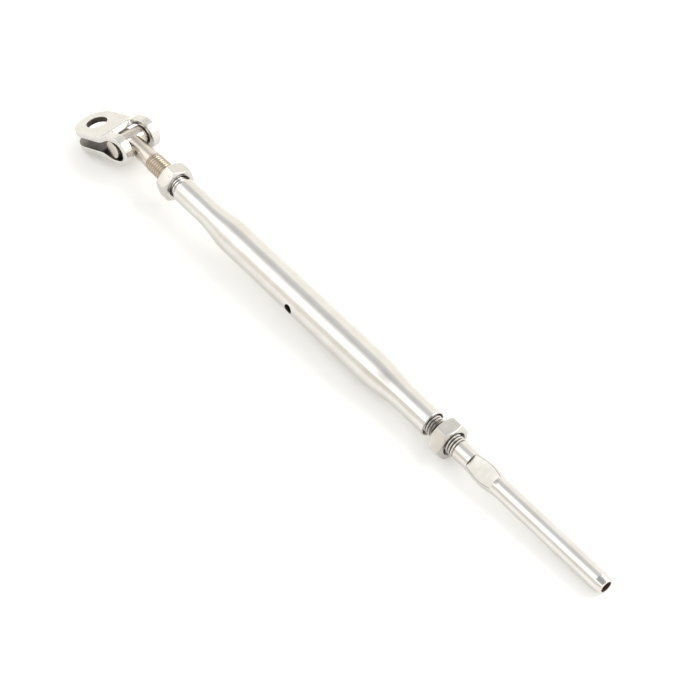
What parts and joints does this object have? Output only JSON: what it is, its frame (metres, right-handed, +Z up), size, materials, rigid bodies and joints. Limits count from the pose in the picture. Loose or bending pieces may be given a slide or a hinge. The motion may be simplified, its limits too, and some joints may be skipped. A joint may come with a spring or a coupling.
{
  "type": "rigging turnbuckle",
  "caption": "Closed-body rigging turnbuckle: tubular body with necked ends, lock nuts, a forked toggle on one end and a wire swage stud on the other.",
  "frame": {"origin": "under the middle of the part's box, level with the lowest point of the toggle strap", "axes": "+X along the body towards the swage sleeve, +Z up, Y along the toggle's cross bar"},
  "size_m": [0.3798, 0.0292, 0.0273],
  "materials": {
    "body_steel": "polished stainless steel",
    "nut_steel": "bright stainless steel",
    "stud_steel": "polished stainless steel",
    "bolt_steel": "stainless steel, machined thread",
    "strap_steel": "polished stainless steel"
  },
  "bodies": {
    "swage_end": {"swage_stud": "stud_steel"},
    "swage_nut": {"swage_lock_nut": "nut_steel"},
    "barrel": {"body_tube": "body_steel"},
    "toggle_nut": {"toggle_lock_nut": "nut_steel"},
    "toggle_shank": {"toggle_bolt": "bolt_steel"},
    "toggle": {"toggle_strap": "strap_steel"}
  },
  "joints": [
    {"name": "swage_nut_travel", "type": "slide", "parent": "swage_end", "child": "swage_nut", "axis": [-1, 0, 0], "range_m": [-0.00337, 0.024]},
    {"name": "barrel_turn", "type": "hinge", "parent": "swage_nut", "child": "barrel", "pos_m": [-0.01447, 0.00162, 0.01755], "axis": [-1, 0, 0], "range_deg": [-810.02, 5760.02]},
    {"name": "toggle_nut_travel", "type": "slide", "parent": "barrel", "child": "toggle_nut", "axis": [-1, 0, 0], "range_m": [-0.00338, 0.024]},
    {"name": "toggle_shank_turn", "type": "hinge", "parent": "toggle_nut", "child": "toggle_shank", "pos_m": [-0.12447, 0.00162, 0.01755], "axis": [-1, 0, 0], "range_deg": [-5760.02, 810.02]},
    {"name": "toggle_swing", "type": "hinge", "parent": "toggle_shank", "child": "toggle", "pos_m": [-0.15447, 0.00162, 0.01755], "axis": [0, 1, 0], "range_deg": [-58, 98]}
  ],
  "couplings": [
    {"joint": "barrel_turn", "follows": "swage_nut_travel", "rad_per_m": 4188.8},
    {"joint": "toggle_nut_travel", "follows": "swage_nut_travel", "ratio": 1},
    {"joint": "toggle_shank_turn", "follows": "swage_nut_travel", "rad_per_m": -4188.8}
  ]
}
